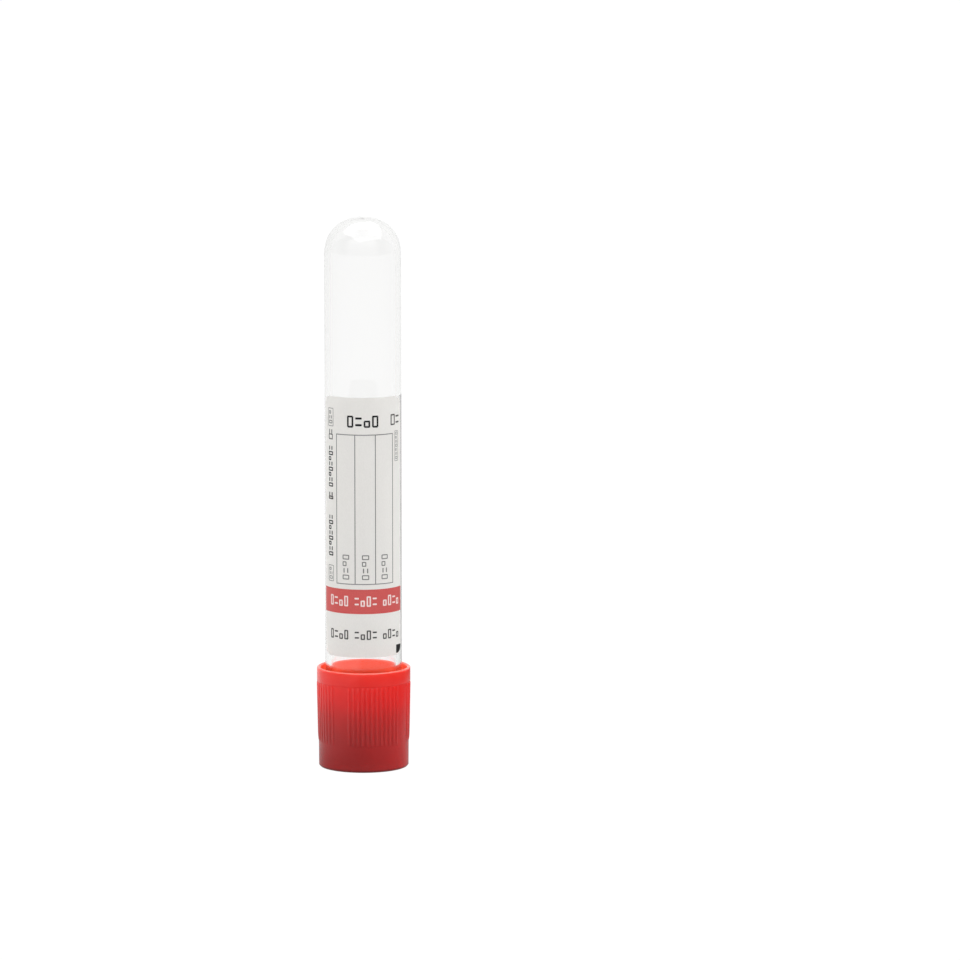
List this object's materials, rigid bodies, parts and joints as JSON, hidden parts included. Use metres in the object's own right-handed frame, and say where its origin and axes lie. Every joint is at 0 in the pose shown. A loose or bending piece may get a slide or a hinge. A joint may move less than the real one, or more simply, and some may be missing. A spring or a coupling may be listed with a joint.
{
  "type": "blood collection tube",
  "caption": "Round-bottomed glass sample tube with a paper label, closed by a coned rubber stopper held in a ribbed red cap with a needle port.",
  "frame": {"origin": "centre of the cap's flat end, on the surface that the tube stands on", "axes": "+Z along the tube, from the cap to the round bottom; -Y is the way the middle of the label faces; +X completes the right-handed frame"},
  "size_m": [0.0198, 0.0198, 0.1156],
  "materials": {
    "clear_glass": "polished",
    "label_paper": "satin",
    "red_plastic": "semi-gloss, translucent",
    "grey_rubber": "matt"
  },
  "bodies": {
    "cap": {"cap": "red_plastic"},
    "stopper": {"stopper": "grey_rubber"},
    "tube": {"tube": "clear_glass", "label": "label_paper"}
  },
  "joints": [
    {"name": "cap_twist", "type": "hinge", "parent": "cap", "child": "stopper", "pos_m": [0, 0, 0.004], "axis": [0, 0, 1], "continuous": true},
    {"name": "tube_pull", "type": "slide", "parent": "stopper", "child": "tube", "axis": [0, 0, 1], "range_m": [0, 0.03]}
  ]
}
